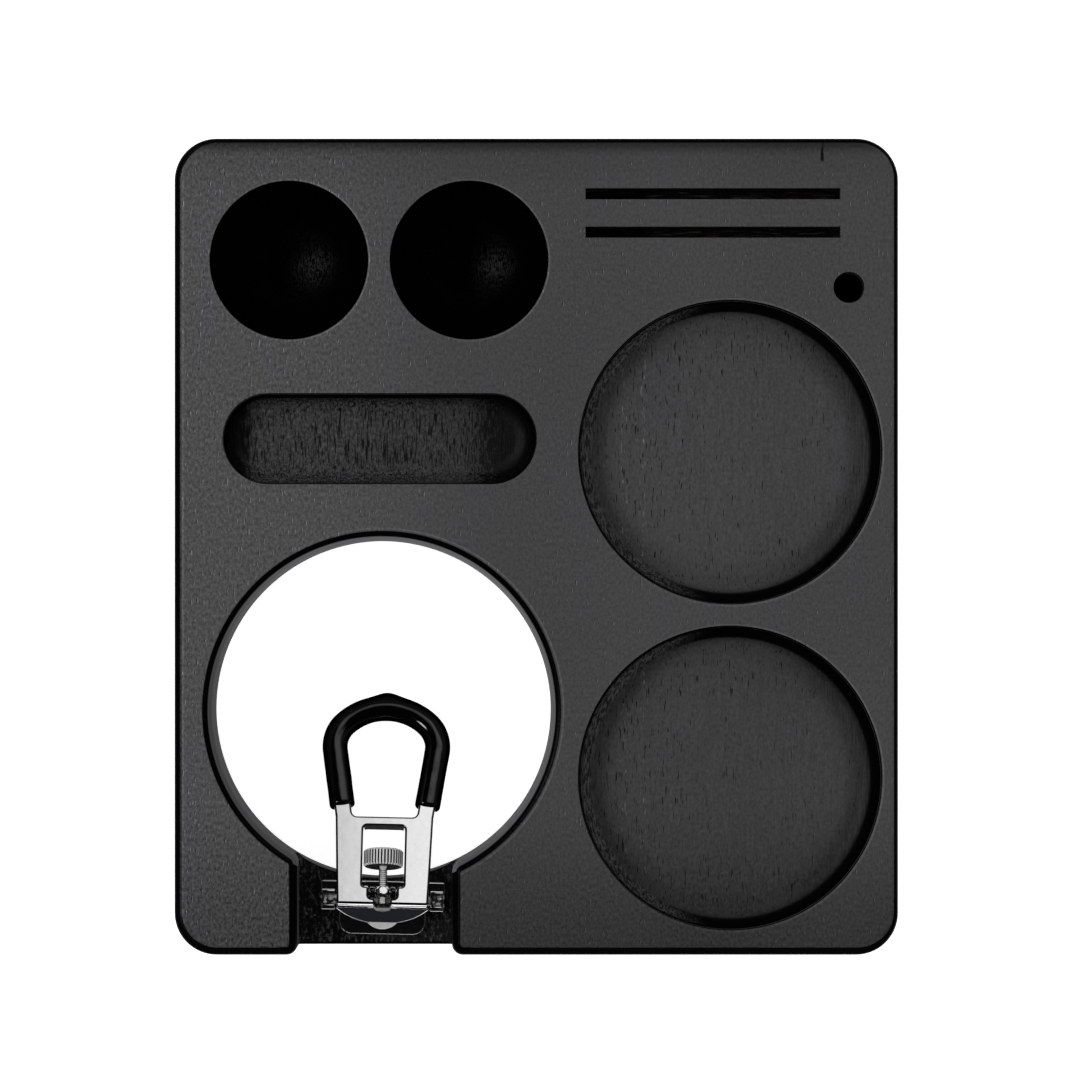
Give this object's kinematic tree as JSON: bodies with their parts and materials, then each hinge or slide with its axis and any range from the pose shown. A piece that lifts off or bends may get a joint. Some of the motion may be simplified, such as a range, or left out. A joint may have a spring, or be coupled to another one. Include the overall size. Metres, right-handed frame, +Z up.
{
  "type": "espresso tamping station",
  "caption": "Black-stained wooden block with tool pockets, screen slots and an open portafilter ring, with a small chromed tilting rest set by a thumb screw.",
  "frame": {"origin": "middle of the footprint, on the surface that the four feet stand on", "axes": "+Z up, -Y to the front where the portafilter channel opens, +X to the right"},
  "size_m": [0.145, 0.1636, 0.05],
  "materials": {
    "stained_wood": "satin",
    "rubber": "matte",
    "polished_chrome": "polished",
    "plated_steel": "satin",
    "dipped_vinyl": "gloss"
  },
  "bodies": {
    "station": {"wood_block": "stained_wood", "foot_front_left": "rubber", "foot_front_right": "rubber", "foot_rear_left": "rubber", "foot_rear_right": "rubber", "bracket_base": "polished_chrome", "hinge_pin": "plated_steel", "base_screws": "plated_steel"},
    "rest_arm": {"arm": "polished_chrome", "loop_coat": "dipped_vinyl"},
    "nut": {"swivel_nut": "plated_steel"},
    "screw": {"thumb_screw": "polished_chrome"}
  },
  "joints": [
    {"name": "arm_tilt", "type": "hinge", "parent": "station", "child": "rest_arm", "pos_m": [-0.031, -0.07126, 0.03], "axis": [0.9997, -0.0227, 0], "range_deg": [-5, 5]},
    {"name": "nut_swivel", "type": "hinge", "parent": "station", "child": "nut", "pos_m": [-0.03096, -0.06963, 0.0317], "axis": [0.9997, -0.0227, 0], "range_deg": [-2.6, 2.6]},
    {"name": "screw_turn", "type": "hinge", "parent": "nut", "child": "screw", "pos_m": [-0.03096, -0.06963, 0.0317], "axis": [-0.0223, -0.9814, 0.1908], "range_deg": [-156, 156]}
  ],
  "couplings": [
    {"joint": "screw_turn", "follows": "arm_tilt", "ratio": 31.104},
    {"joint": "nut_swivel", "follows": "arm_tilt", "ratio": 0.50824}
  ]
}
